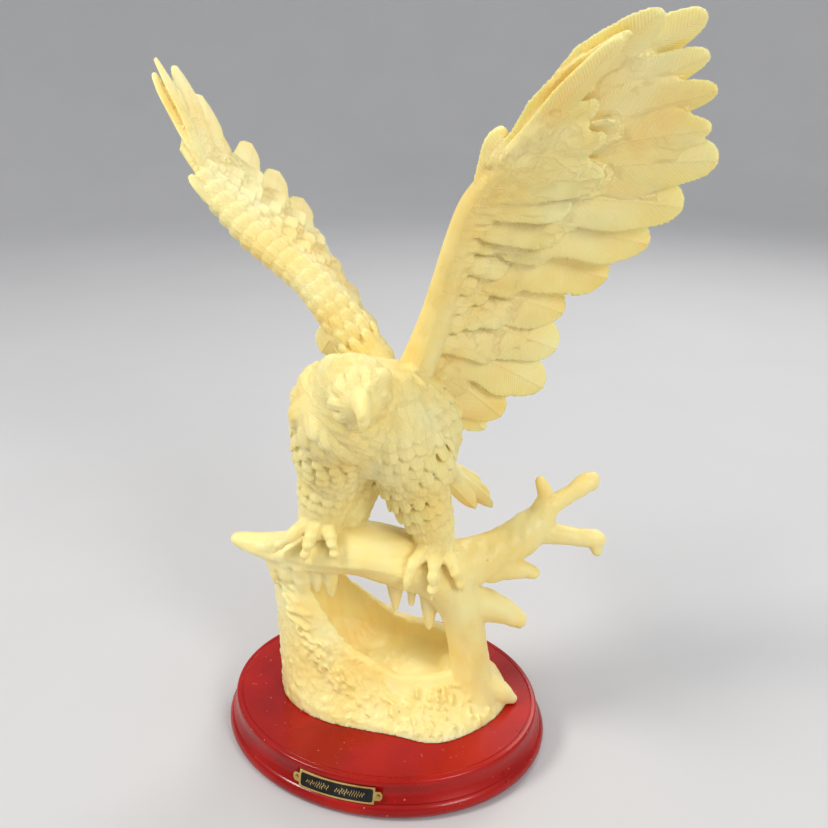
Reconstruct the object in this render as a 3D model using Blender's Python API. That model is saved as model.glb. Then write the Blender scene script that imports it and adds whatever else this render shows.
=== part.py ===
# Cast resin eagle on an oval lacquered wood plinth with a small nameplate.
# Metres, +Z up. The origin is the middle of the plinth's underside, X runs along the
# plinth's long axis, and the nameplate faces -Y.
import math

import bmesh
import bpy
import numpy as np

# Plinth
PLINTH_LENGTH = 0.190
PLINTH_WIDTH = 0.160
PLINTH_HEIGHT = 0.022
PLINTH_TOP_INSET = 0.0062     # top face in from the outermost edge, all round
ROLL_HEIGHT = 0.0096          # fat rounded moulding at the bottom
COVE_FOOT_INSET = 0.0024      # where the hollow moulding starts, above the roll
COVE_HEAD_INSET = 0.0052      # where it ends, under the top bead
COVE_DEPTH = 0.0012           # how far it sinks behind a straight line
BEAD_HEIGHT = 0.0030          # rounded edge of the top board
PLINTH_SIDES = 60
ROLL_STEPS = 4
COVE_STEPS = 3
BEAD_STEPS = 2

# Nameplate, bent to the plinth's front
PLATE_LENGTH = 0.043
PLATE_HEIGHT = 0.0088
PLATE_THICKNESS = 0.0009
PLATE_TAB_LENGTH = 0.0040     # tongue at each end, for its pin
PLATE_TAB_HEIGHT = 0.0046
PLATE_STEPS = 12
PIN_DIAMETER = 0.0020
PIN_LENGTH = 0.0007
PIN_SIDES = 16

# Gap kept between touching pieces
CLEARANCE = 0.0003

# Figure. Its pose is written in 1/364 parts of its height, so a part is one millimetre
# at the real height.
FIGURE_HEIGHT = 0.364
FIGURE_TURN = math.radians(18)   # the eagle's pose, turned on the plinth
PART = FIGURE_HEIGHT / 364
VOXEL = 1.25                     # grain of the fused casting, in parts
BASE_TRIM = 0.8                  # cut off the fused foot to make it flat, in parts
FIGURE_FACES = 7600


def smooth_path(points, count):
    """Points read from a smooth curve through the given ones."""
    points = np.asarray(points, float)
    padded = np.vstack([2 * points[0] - points[1], points, 2 * points[-1] - points[-2]])
    place = np.linspace(0, len(points) - 1, count)
    start = np.minimum(place.astype(int), len(points) - 2)
    t = (place - start)[:, None]
    a, b, c, d = (padded[start + k] for k in range(4))
    curve = 2 * b + (c - a) * t + (2 * a - 5 * b + 4 * c - d) * t ** 2 + (3 * b - a - 3 * c + d) * t ** 3
    return 0.5 * curve


def at(points, share):
    """The place at a share, 0 to 1, of the way along a smooth curve."""
    fine = smooth_path(points, 81)
    spot = np.clip(share, 0, 1) * 80
    low = min(int(spot), 79)
    return fine[low] + (fine[low + 1] - fine[low]) * (spot - low)


def unit(vector):
    return np.asarray(vector, float) / np.linalg.norm(vector)


class Casting:
    """Closed shapes gathered before they are fused into one solid."""

    def __init__(self):
        self.points = []
        self.faces = []

    def loft(self, rings):
        """A closed skin over a row of rings with the same number of points."""
        first = len(self.points)
        sides = len(rings[0])
        for ring in rings:
            self.points.extend(tuple(p) for p in ring)
        for row in range(len(rings) - 1):
            for k in range(sides):
                a = first + row * sides + k
                b = first + row * sides + (k + 1) % sides
                self.faces.append((a, b, b + sides, a + sides))
        last = first + (len(rings) - 1) * sides
        self.faces.append(tuple(range(first + sides - 1, first - 1, -1)))
        self.faces.append(tuple(range(last, last + sides)))

    def limb(self, points, radii, wide=1.0, up=(0, 0, 1), sides=14, steps=4):
        """A round or oval limb along a curve, with domed ends."""
        count = (len(points) - 1) * steps + 1
        line = smooth_path(points, count)
        radius = smooth_path(np.asarray(radii, float)[:, None], count)[:, 0]
        along = np.gradient(line, axis=0)
        turns = np.linspace(0, 2 * math.pi, sides, endpoint=False)
        rings = []
        for k in range(count):
            tangent = unit(along[k])
            side = unit(np.cross(tangent, up))
            over = np.cross(side, tangent)
            spoke = np.outer(np.cos(turns), side) * wide + np.outer(np.sin(turns), over)
            if k == 0:
                for share in (0.25, 0.7):
                    back = radius[k] * math.sqrt(1 - share ** 2)
                    rings.append(line[k] - tangent * back + spoke * radius[k] * share)
            rings.append(line[k] + spoke * radius[k])
            if k == count - 1:
                for share in (0.7, 0.25):
                    forth = radius[k] * math.sqrt(1 - share ** 2)
                    rings.append(line[k] + tangent * forth + spoke * radius[k] * share)
        self.loft(rings)

    def feather(self, root, tip, facing, width, thickness, bow=0.0, root_width=0.6, steps=7):
        """A flat blade with a rounded end. It bows away from the side it faces."""
        root = np.asarray(root, float)
        tip = np.asarray(tip, float)
        along = tip - root
        side = unit(np.cross(along, facing))
        out = unit(np.cross(side, along))
        rings = []
        for t in list(np.linspace(0, 0.8, steps)) + [0.88, 0.94, 0.98, 1.0]:
            middle = root + along * t - out * bow * math.sin(math.pi * t)
            reach = root_width + (1 - root_width) * min(1, t / 0.6)
            if t > 0.76:
                reach *= math.sqrt(max(0.03, 1 - ((t - 0.76) / 0.245) ** 2))
            half = width / 2 * reach
            deep = thickness / 2 * (0.6 + 0.4 * reach)
            ring = []
            for k in range(8):
                turn = 2 * math.pi * k / 8
                ring.append(middle + side * half * math.cos(turn) + out * deep * math.sin(turn))
            rings.append(ring)
        self.loft(rings)


# The eagle's wings: the leading edge from the shoulder to the first primary, then the
# tips of the flight feathers from the body outwards, each with the share of the leading
# edge that its root sits at.
LEFT_LEAD = [(8, 6, 188), (19, -6, 221), (28, -18, 253), (36, -32, 284), (47, -42, 300),
             (64, -55, 315), (80, -72, 341), (89, -83, 354)]
LEFT_TIPS = [(32, 34, 141), (43, 38, 146), (58, 38, 151), (67, 36, 160), (89, 31, 179), (94, 23, 204),
             (95, 15, 226), (114, 4, 247), (129, -12, 267), (138, -30, 287), (146, -46, 309),
             (139, -54, 322), (137, -62, 337), (130, -69, 350), (125, -76, 364), (107, -84, 364),
             (96, -84, 357)]
LEFT_ROOTS = [0.0, 0.03, 0.06, 0.1, 0.15, 0.21, 0.28, 0.35, 0.42, 0.48, 0.53, 0.56, 0.59, 0.62, 0.66,
              0.73, 0.82]
LEFT_THUMB = ((40, -40, 296), (54, -50, 322))

RIGHT_LEAD = [(-4, 8, 198), (-20, 12, 220), (-38, 20, 240), (-64, 32, 257), (-88, 44, 280),
              (-108, 56, 306), (-118, 66, 328), (-122, 71, 340)]
RIGHT_TIPS = [(-1, 56, 190), (-6, 76, 202), (-17, 94, 214), (-30, 110, 232), (-43, 121, 250),
              (-52, 127, 268), (-66, 128, 284), (-81, 123, 301), (-97, 116, 307), (-105, 106, 329),
              (-114, 90, 345), (-121, 77, 349)]
RIGHT_ROOTS = [0.0, 0.05, 0.11, 0.18, 0.26, 0.35, 0.44, 0.52, 0.59, 0.66, 0.76, 0.88]
RIGHT_THUMB = ((-86, 42, 274), (-100, 44, 292))


class Wing:
    """One wing's ruling lines, which the arm, vanes and coverts are all hung on."""

    wrist = 0.58                 # share of the leading edge where the hand begins

    def __init__(self, lead, tips, roots, under, camber):
        self.lead = lead
        self.tips = np.asarray(tips, float)
        self.roots = roots
        self.under = under       # +1 or -1, the side of the ruling that is the underside
        self.camber = camber     # how far the middle bows up from the underside

    def edge(self, share):
        return at(self.lead, share)

    def on(self, share, fraction, lift=0.0):
        """On the cambered middle of the wing, a fraction of the way back, and lifted off it."""
        off = lift - self.camber * math.sin(math.pi * fraction)
        return self.edge(share) + self.reach(share) * fraction + self.facing(share) * off

    def reach(self, share):
        """From the leading edge to the feather tips, at a share of the edge."""
        tip = np.array([np.interp(share, self.roots, self.tips[:, k]) for k in range(3)])
        return tip - self.edge(share)

    def facing(self, share):
        """Square to the wing, out of its underside."""
        share = min(share, self.wrist)
        run = self.edge(share + 0.05) - self.edge(max(share - 0.05, 0))
        return unit(np.cross(run, self.reach(share))) * self.under

    def arm(self, casting, radii):
        shares = np.linspace(0, 0.97, len(radii))
        line = [self.edge(s) + unit(self.reach(s)) * r * 0.9 for s, r in zip(shares, radii)]
        casting.limb(line, radii, sides=12, steps=3)

    def vanes(self, casting, thickness, overlap):
        """The flight feathers, each as wide as its neighbours' spacing asks."""
        last = len(self.tips) - 1
        for k, share in enumerate(self.roots):
            tip = self.tips[k]
            share = min(share, self.wrist)
            near = [np.linalg.norm(tip - self.tips[j]) for j in (k - 1, k + 1) if 0 <= j <= last]
            width = min(max(overlap * sum(near) / len(near), 15), 36)
            if k == last:
                width *= 0.65
            root = self.edge(share) + self.reach(share) * 0.06
            casting.feather(root, tip, self.facing(share), width, thickness, self.camber)

    def web(self, casting, depth, thickness, last=0.8):
        """The thick part of the wing behind the arm, under the coverts."""
        rings = []
        for share in np.linspace(0, last, 15):
            ring = []
            for turn in np.linspace(0, 2 * math.pi, 10, endpoint=False):
                fraction = depth * (0.5 - 0.5 * math.cos(turn))
                ring.append(self.on(share, fraction, thickness / 2 * math.sin(turn)))
            rings.append(ring)
        casting.loft(rings)

    def coverts(self, casting, rows, side, lift, thickness):
        """Rows of short overlapping feathers. side is +1 underneath and -1 above."""
        for count, near, far, width in rows:
            for k in range(count):
                share = 0.74 * (k + 0.5) / count
                facing = self.facing(share) * side
                root = self.on(share, near, side * lift * 0.5)
                tip = self.on(share, far, side * lift)
                casting.feather(root, tip, facing, width, thickness, bow=-1.0, root_width=0.8, steps=4)


def build_wings(casting):
    left = Wing(LEFT_LEAD, LEFT_TIPS, LEFT_ROOTS, under=-1, camber=6)
    right = Wing(RIGHT_LEAD, RIGHT_TIPS, RIGHT_ROOTS, under=1, camber=3)
    rows = [(12, 0.34, 0.64, 17), (14, 0.14, 0.42, 15)]
    for wing, under_lift, overlap in ((left, 4, 1.55), (right, 9, 1.15)):
        wing.arm(casting, (12, 9, 7.5, 6.5, 5.5, 4, 3.4, 3))
        wing.vanes(casting, thickness=2.7, overlap=overlap)
        wing.web(casting, depth=0.5, thickness=6.5)
        wing.coverts(casting, rows, side=1, lift=under_lift, thickness=2.8)
        wing.coverts(casting, rows, side=-1, lift=3.6, thickness=2.8)
    casting.feather(*LEFT_THUMB, left.facing(0.6), 12, 3.6)
    casting.feather(*RIGHT_THUMB, right.facing(0.6), 11, 3.6)
    casting.feather((-18, 26, 222), (-34, 42, 196), (-0.5, -0.8, -0.2), 20, 4)   # inner shoulder feathers


BODY_LINE = [(29, 30, 138), (19, 18, 155), (9, 5, 170), (-7, -11, 179), (-17, -22, 186)]
BODY_RADII = [7, 16, 27, 29, 26]
HEAD_LINE = [(-14, -26, 194), (-10, -40, 202), (-8, -48, 202)]
HEAD_RADII = [21, 16.5, 13]
BEAK_LINE = [(-8, -53, 204), (-6, -62, 204), (-5, -67, 200), (-6, -66, 193)]
BEAK_RADII = [7.5, 6.0, 4.2, 1.6]
BREAST_LINE = [(-18, -14, 178), (-25, -10, 160), (-26, -6, 148)]
BREAST_RADII = [24, 17, 12]


def build_body(casting):
    casting.limb(BODY_LINE, BODY_RADII, wide=1.1)
    casting.limb(BREAST_LINE, BREAST_RADII)
    casting.limb(HEAD_LINE, HEAD_RADII)
    casting.limb(BEAK_LINE, BEAK_RADII, wide=0.75, sides=10)
    casting.limb([(-21, -41, 210), (-13, -55, 209)], [4.5, 2.6], sides=8)    # right brow
    casting.limb([(3, -44, 211), (-3, -56, 210)], [4.5, 2.6], sides=8)       # left brow
    casting.limb([(-2, 10, 186), (9, -2, 187)], [14, 13])                    # between the wings
    casting.limb([(4, -10, 184), (15, -12, 164), (19, -9, 150)], [21, 20, 16])   # left side of the breast
    casting.limb([(5, -20, 190), (8, -22, 176), (10, -18, 162)], [16, 17, 15])   # left side of the neck
    build_hackles(casting, rows=4, count=12, length=20, width=12, thickness=3.0)
    build_tail(casting)


def build_hackles(casting, rows, count, length, width, thickness):
    """Pointed neck and breast feathers, in rings around the body from the neck back."""
    for row in range(rows):
        share = 0.93 - 0.48 * row / max(rows - 1, 1)
        middle = at(BODY_LINE, share)
        ahead = unit(at(BODY_LINE, share + 0.04) - at(BODY_LINE, share - 0.04))
        radius = at(np.asarray(BODY_RADII, float)[:, None] * [1, 1, 1], share)[0]
        side = unit(np.cross(ahead, (0, 0, 1)))
        over = np.cross(side, ahead)
        for k in range(count):
            turn = 2 * math.pi * (k + 0.5 * (row % 2)) / count
            out = side * 1.1 * math.cos(turn) + over * math.sin(turn)
            root = middle + out * (radius - 2)
            tip = middle - ahead * length + out * (radius + 0.5) - np.array([0, 0, 3.0])
            casting.feather(root, tip, out, width, thickness, bow=-1.5, steps=4)


TAIL_TIPS = [(49, 62, 110), (58, 63, 104), (64, 62, 96), (66, 59, 90), (55, 50, 94)]


def build_tail(casting):
    for tip in TAIL_TIPS:
        casting.feather((25, 26, 136), tip, (-0.5, 0.2, 0.8), 12, 4.2, bow=-2)
    casting.limb([(23, 22, 142), (40, 42, 120)], [11, 6], wide=1.2)


# Each leg: thigh and shin line with radii, then the toes from the ankle.
RIGHT_LEG = [(-18, -2, 160), (-27, -2, 140), (-31, 0, 124), (-34, -2, 112)]
RIGHT_LEG_RADII = [18, 14.5, 11, 8.5]
RIGHT_HAM = [(-4, 8, 152), (-12, 9, 132), (-18, 7, 114)]
RIGHT_TOES = [[(-36, -4, 116), (-47, -12, 111), (-56, -12, 103)],
              [(-33, -6, 116), (-38, -17, 110), (-41, -18, 101)],
              [(-30, -4, 115), (-27, -16, 110), (-25, -18, 102)],
              [(-32, 6, 114), (-31, 16, 106), (-31, 17, 98)]]
LEFT_LEG = [(14, -2, 158), (18, -8, 138), (26, -9, 118), (29, -9, 106)]
LEFT_LEG_RADII = [19, 15, 9, 6.5]
LEFT_TOES = [[(28, -10, 106), (18, -25, 100), (14, -28, 90)],
             [(30, -11, 106), (28, -28, 98), (27, -30, 86)],
             [(32, -10, 106), (38, -25, 98), (42, -26, 88)],
             [(31, 0, 106), (34, 10, 98), (35, 12, 90)]]


def build_legs(casting):
    casting.limb(RIGHT_LEG, RIGHT_LEG_RADII, wide=1.0)
    casting.limb(RIGHT_HAM, [13, 9.5, 7.5])
    casting.limb(LEFT_LEG, LEFT_LEG_RADII, wide=1.0)
    for toe in RIGHT_TOES + LEFT_TOES:
        casting.limb(toe, [4.6, 3.8, 1.6], sides=8, steps=3)


LOG_LINE = [(-81, 7, 96), (-68, 5, 94), (-50, 2, 93), (-32, 0, 95), (-14, -2, 96), (8, -5, 92),
            (30, -7, 84), (42, -8, 66), (47, -9, 44), (50, -10, 20), (52, -10, 5)]
LOG_RADII = [5, 8, 13, 16.5, 18, 19, 19, 16, 14, 15, 19]
BRANCHES = [
    ([(34, -6, 84), (54, 0, 88), (70, 6, 93), (84, 10, 102), (92, 12, 112)], [17, 13, 11.5, 11, 7]),
    ([(88, 11, 106), (91, 12, 120), (88, 12, 130)], [8, 5, 3.2]),
    ([(90, 12, 112), (102, 14, 119), (112, 15, 126), (116, 16, 128)], [7, 5, 5.5, 6]),
    ([(84, 10, 101), (104, 8, 98), (120, 6, 97)], [8, 5.5, 5.5]),
    ([(118, 6, 98), (121, 5, 90)], [5, 3.2]),
    ([(60, 0, 82), (76, -3, 83), (84, -4, 81)], [9, 5.5, 4]),
    ([(46, -6, 64), (64, -7, 60), (76, -9, 54)], [12, 8.5, 5.5]),
    ([(50, -12, 12), (66, -14, 8), (74, -14, 3)], [12, 7, 3.5]),
    ([(44, -6, 10), (40, 14, 7), (38, 28, 4)], [12, 9, 5]),
]
ICICLES = [(-53, -2, 69, 8), (-45, -5, 66, 7), (-37, -6, 72, 6), (-29, -7, 69, 6), (7, -7, 61, 6),
           (26, -9, 49, 6)]


def build_log(casting):
    casting.limb(LOG_LINE, LOG_RADII, wide=0.8, up=(0, 1, 0.02), sides=16)
    for points, radii in BRANCHES:
        casting.limb(points, radii, sides=12)
    for x, y, low, radius in ICICLES:
        line = [(x, y, low + 22), (x, y, low + 9), (x, y, low)]
        casting.limb(line, [radius, radius * 0.55, 1.0], up=(0, 1, 0), sides=8)


# The rocky foot is a bowl with a high back wall: stations around it, each with its point
# on the plinth and the point on its rim.
FOOT = [(6, -43), (31, -49), (58, -34), (72, -12), (68, 18), (46, 38), (12, 50), (-24, 48), (-50, 34),
        (-61, 12), (-56, -12), (-34, -31)]
RIM = [(8, -22, 22), (30, -21, 22), (52, -14, 26), (58, -4, 24), (54, 12, 24), (36, 28, 27), (8, 40, 28),
       (-18, 38, 48), (-45, 26, 76), (-63, 8, 88), (-51, -6, 78), (-27, -14, 40)]
RIM_WALL = 8
BASIN_MIDDLE = (6, 2, 11)
FOOT_STEPS = 36


def build_foot(casting):
    foot = smooth_path(FOOT + FOOT[:1], FOOT_STEPS + 1)[:-1]
    rim = smooth_path(RIM + RIM[:1], FOOT_STEPS + 1)[:-1]
    foot = np.column_stack([foot, np.zeros(len(foot))])
    middle = np.asarray(BASIN_MIDDLE, float)
    inward = middle - rim
    inward[:, 2] = 0
    inward /= np.linalg.norm(inward, axis=1)[:, None]
    high = rim[:, 2:]
    lip = rim + inward * RIM_WALL
    waist = foot + (rim - foot) * [0.55, 0.55, 0.42]
    skirt = foot + (rim - foot) * [0.10, 0.10, 0.14]
    hollow = lip + inward * 3
    hollow[:, 2] = 14 + 0.35 * (high[:, 0] - 14)
    low = hollow + (middle - hollow) * [0.35, 0.35, 0.9]
    casting.loft([foot, skirt, waist, rim - [0, 0, 3], rim + inward * 2, lip - [0, 0, 1], hollow, low,
                  middle + (low - middle) * 0.3])


ROCK_COUNT = 26
ROCK_SEED = 7


def build_rocks(casting):
    """Angular stones along the front lip of the foot."""
    random = np.random.default_rng(ROCK_SEED)
    for k in range(ROCK_COUNT):
        share = 0.80 + 0.34 * k / ROCK_COUNT + random.uniform(-0.01, 0.01)
        rim = at(RIM + RIM[:1], share % 1)
        foot = np.append(at([(x, y, 0) for x, y in FOOT + FOOT[:1]], share % 1)[:2], 0)
        spot = foot + (rim - foot) * random.uniform(0.35, 1.0)
        size = random.uniform(3.5, 7.0)
        tilt = unit(random.normal(size=3))
        casting.limb([spot - tilt * size * 0.5, spot + tilt * size * 0.5], [size * 0.8, size * 0.55],
                     up=unit(random.normal(size=3)), sides=5, steps=1)


def material(name, color, roughness, metallic=0.0, transmission=0.0, coat=0.0):
    made = bpy.data.materials.new(name)
    made.use_nodes = True
    shader = made.node_tree.nodes["Principled BSDF"]
    shader.inputs["Base Color"].default_value = (*color, 1)
    shader.inputs["Roughness"].default_value = roughness
    shader.inputs["Metallic"].default_value = metallic
    shader.inputs["Transmission Weight"].default_value = transmission
    shader.inputs["Coat Weight"].default_value = coat
    return made


def place(name, mesh, surface):
    made = bpy.data.objects.new(name, mesh)
    mesh.materials.clear()
    mesh.materials.append(surface)
    bpy.context.scene.collection.objects.link(made)
    return made


def solid_from(points, faces, name):
    """A closed mesh with its faces pointing out."""
    mesh = bpy.data.meshes.new(name)
    mesh.from_pydata([tuple(p) for p in points], [], faces)
    work = bmesh.new()
    work.from_mesh(mesh)
    bmesh.ops.recalc_face_normals(work, faces=work.faces)
    work.to_mesh(mesh)
    work.free()
    return mesh


def keep_largest_body(mesh):
    """Drops crumbs that the fusing leaves apart from the casting."""
    work = bmesh.new()
    work.from_mesh(mesh)
    left = set(work.verts)
    bodies = []
    while left:
        body = {left.pop()}
        edge = list(body)
        while edge:
            point = edge.pop()
            for link in point.link_edges:
                other = link.other_vert(point)
                if other in left:
                    left.remove(other)
                    body.add(other)
                    edge.append(other)
        bodies.append(body)
    bodies.sort(key=len)
    for body in bodies[:-1]:
        bmesh.ops.delete(work, geom=list(body), context="VERTS")
    work.to_mesh(mesh)
    work.free()


def evaluated_mesh(thing):
    graph = bpy.context.evaluated_depsgraph_get()
    graph.update()
    return bpy.data.meshes.new_from_object(thing.evaluated_get(graph), depsgraph=graph)


def build_figure():
    casting = Casting()
    build_foot(casting)
    build_rocks(casting)
    build_log(casting)
    build_legs(casting)
    build_body(casting)
    build_wings(casting)
    resin = material("frosted_resin", (0.92, 0.82, 0.48), 0.45, transmission=0.3)
    fused = place("fused", solid_from(casting.points, casting.faces, "fused"), resin)
    fuse = fused.modifiers.new("fuse", "REMESH")
    fuse.mode = "VOXEL"
    fuse.voxel_size = VOXEL
    soften = fused.modifiers.new("soften", "SMOOTH")
    soften.factor = 0.5
    soften.iterations = 2
    whole = evaluated_mesh(fused)
    bpy.data.objects.remove(fused)
    keep_largest_body(whole)
    cut_flat(whole)
    whole.update()

    figure = place("resin_eagle", whole, resin)
    thin = figure.modifiers.new("thin", "DECIMATE")
    whole.calc_loop_triangles()
    thin.ratio = FIGURE_FACES / len(whole.loop_triangles)
    figure.rotation_euler = (0, 0, FIGURE_TURN)
    figure.scale = (PART, PART, PART)
    figure.location = (0, 0, PLINTH_HEIGHT + CLEARANCE)
    return figure


def cut_flat(mesh):
    """The casting's underside is flat where it rests on the plinth."""
    work = bmesh.new()
    work.from_mesh(mesh)
    geometry = list(work.verts) + list(work.edges) + list(work.faces)
    bmesh.ops.bisect_plane(work, geom=geometry, dist=1e-4, plane_co=(0, 0, BASE_TRIM), plane_no=(0, 0, 1),
                           clear_inner=True)
    rim = [edge for edge in work.edges if edge.is_boundary]
    bmesh.ops.contextual_create(work, geom=rim)
    bmesh.ops.translate(work, verts=work.verts, vec=(0, 0, -BASE_TRIM))
    bmesh.ops.triangulate(work, faces=work.faces)
    bmesh.ops.recalc_face_normals(work, faces=work.faces)
    work.to_mesh(mesh)
    work.free()


def plinth_profile():
    """(inset, height) up the side: roll, hollow moulding, bead."""
    rows = []
    half = ROLL_HEIGHT / 2
    for turn in np.linspace(-math.pi / 2, math.pi / 2, ROLL_STEPS * 2 + 1):
        rows.append((half - half * math.cos(turn), half + half * math.sin(turn)))
    foot = ROLL_HEIGHT
    head = PLINTH_HEIGHT - BEAD_HEIGHT
    for t in np.linspace(0, 1, COVE_STEPS + 1):
        line = COVE_FOOT_INSET + (COVE_HEAD_INSET - COVE_FOOT_INSET) * t
        rows.append((line + COVE_DEPTH * math.sin(math.pi * t), foot + (head - foot) * t))
    out = COVE_HEAD_INSET - BEAD_HEIGHT * 0.2
    for turn in np.linspace(0, math.pi / 2, BEAD_STEPS + 1):
        inset = out + (PLINTH_TOP_INSET - out) * (1 - math.cos(turn))
        rows.append((inset, head + BEAD_HEIGHT * math.sin(turn)))
    return rows


def oval(inset, height, turn):
    """A point on the plinth's side, at an inset from its outermost edge."""
    x = (PLINTH_LENGTH / 2 - inset) * math.cos(turn)
    y = (PLINTH_WIDTH / 2 - inset) * math.sin(turn)
    return (x, y, height)


def build_plinth():
    turns = [2 * math.pi * k / PLINTH_SIDES for k in range(PLINTH_SIDES)]
    shape = Casting()
    shape.loft([[oval(inset, height, turn) for turn in turns] for inset, height in plinth_profile()])
    lacquer = material("cherry_lacquer", (0.42, 0.03, 0.02), 0.18, coat=1.0)
    return place("wood_plinth", solid_from(shape.points, shape.faces, "wood_plinth"), lacquer)


def plate_point(along, up, out):
    """A point over the plate's back: along the front, up the hollow, out from it."""
    foot = ROLL_HEIGHT
    head = PLINTH_HEIGHT - BEAD_HEIGHT
    middle = (foot + head) / 2
    slope = (COVE_HEAD_INSET - COVE_FOOT_INSET) / (head - foot)
    inset = COVE_FOOT_INSET + slope * (middle + up - foot) - CLEARANCE - out
    turn = -math.pi / 2 + along / (PLINTH_LENGTH / 2 - inset)
    return oval(inset, middle + up, turn)


def build_nameplate():
    """A thin strip bent round the front, with a narrower tab at each end."""
    whole = PLATE_LENGTH / 2 + PLATE_TAB_LENGTH
    ends = [(-whole, 0.45 * PLATE_TAB_HEIGHT), (-whole + 0.3 * PLATE_TAB_LENGTH, PLATE_TAB_HEIGHT),
            (-PLATE_LENGTH / 2 - 0.0001, PLATE_TAB_HEIGHT)]
    body = [(x, PLATE_HEIGHT) for x in np.linspace(-PLATE_LENGTH / 2, PLATE_LENGTH / 2, PLATE_STEPS + 1)]
    columns = ends + body + [(-x, tall) for x, tall in reversed(ends)]
    rings = []
    for x, tall in columns:
        half = tall / 2
        rings.append([plate_point(x, -half, 0), plate_point(x, -half, PLATE_THICKNESS),
                      plate_point(x, half, PLATE_THICKNESS), plate_point(x, half, 0)])
    shape = Casting()
    shape.loft(rings)
    brass = material("plate_brass", (0.72, 0.52, 0.18), 0.3, metallic=1.0)
    plate = place("nameplate", solid_from(shape.points, shape.faces, "nameplate"), brass)
    for name, hand in (("nameplate_pin_left", -1), ("nameplate_pin_right", 1)):
        along = hand * (PLATE_LENGTH + PLATE_TAB_LENGTH) / 2
        build_pin(name, along, brass)
    return plate


def build_pin(name, along, surface):
    """A flat pin head on one of the plate's tabs."""
    base = PLATE_THICKNESS + CLEARANCE
    middle = np.array(plate_point(along, 0, base))
    out = unit(np.array(plate_point(along, 0, base + PIN_LENGTH)) - middle)
    side = unit(np.cross(out, (0, 0, 1)))
    over = np.cross(side, out)
    rings = []
    full = PIN_DIAMETER / 2
    for depth, radius in ((0, full), (PIN_LENGTH * 0.6, full), (PIN_LENGTH, full * 0.7)):
        ring = []
        for k in range(PIN_SIDES):
            turn = 2 * math.pi * k / PIN_SIDES
            ring.append(middle + out * depth + (side * math.cos(turn) + over * math.sin(turn)) * radius)
        rings.append(ring)
    shape = Casting()
    shape.loft(rings)
    return place(name, solid_from(shape.points, shape.faces, name), surface)


def main():
    for thing in list(bpy.data.objects):
        bpy.data.objects.remove(thing)
    build_plinth()
    build_nameplate()
    build_figure()


main()
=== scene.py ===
import math

import bmesh
import bpy
import numpy as np
from mathutils import Matrix, Vector, kdtree, noise


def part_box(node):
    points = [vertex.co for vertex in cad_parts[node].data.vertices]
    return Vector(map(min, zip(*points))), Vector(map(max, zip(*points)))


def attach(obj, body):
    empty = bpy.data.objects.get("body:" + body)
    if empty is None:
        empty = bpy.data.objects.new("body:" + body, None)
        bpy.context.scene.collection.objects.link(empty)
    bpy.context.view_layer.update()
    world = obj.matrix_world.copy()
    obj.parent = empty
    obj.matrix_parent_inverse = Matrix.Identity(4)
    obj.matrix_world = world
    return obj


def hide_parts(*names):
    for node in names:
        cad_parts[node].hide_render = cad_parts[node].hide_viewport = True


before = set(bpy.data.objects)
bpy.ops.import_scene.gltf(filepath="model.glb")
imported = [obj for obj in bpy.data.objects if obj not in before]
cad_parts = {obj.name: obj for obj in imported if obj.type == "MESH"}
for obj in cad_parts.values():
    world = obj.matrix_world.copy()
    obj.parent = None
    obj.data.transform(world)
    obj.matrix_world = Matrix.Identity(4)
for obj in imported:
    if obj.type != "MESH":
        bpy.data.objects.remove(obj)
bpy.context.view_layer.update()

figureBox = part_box("resin_eagle")
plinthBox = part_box("wood_plinth")
mm = 0.001


# Curves and vectors

def smoothPath(points, count):
    points = np.asarray(points, float)
    padded = np.vstack([2 * points[0] - points[1], points, 2 * points[-1] - points[-2]])
    place = np.linspace(0, len(points) - 1, count)
    start = np.minimum(place.astype(int), len(points) - 2)
    t = (place - start)[:, None]
    a, b, c, d = (padded[start + k] for k in range(4))
    curve = 2 * b + (c - a) * t + (2 * a - 5 * b + 4 * c - d) * t ** 2 + (3 * b - a - 3 * c + d) * t ** 3
    return 0.5 * curve


def at(points, share):
    fine = smoothPath(points, 81)
    spot = np.clip(share, 0, 1) * 80
    low = min(int(spot), 79)
    return fine[low] + (fine[low + 1] - fine[low]) * (spot - low)


def unit(vector):
    return np.asarray(vector, float) / np.linalg.norm(vector)


def roundTurns(count):
    return np.linspace(0, 2 * math.pi, count, endpoint=False)


def crosswise(ahead, up=(0, 0, 1)):
    side = unit(np.cross(ahead, up))
    return side, np.cross(side, ahead)


def featherAxes(root, tip, facing):
    root = np.asarray(root, float)
    along = np.asarray(tip, float) - root
    side = unit(np.cross(along, facing))
    return root, along, side, unit(np.cross(side, along))


# Closed shapes are gathered here in millimetres, then fused into one casting. Big feathers
# are lofted. Small ones and stones are only spots, and Geometry Nodes put them in.

roundEnd = (0.2, 0.5, 0.8)  # rings of a limb's rounded ends, as shares of its radius
vane = {
    "sides": 12,
    "endSteps": [0.76, 0.82, 0.87, 0.92, 0.96, 0.985, 1.0],
    "fullFrom": 0.6,  # share of the length where it has its full width
    "taperFrom": 0.66,
    "taperLength": 0.345,
    "blunt": 0.03,
    "waves": 19,
    "shaft": 0.75,
}


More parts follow.
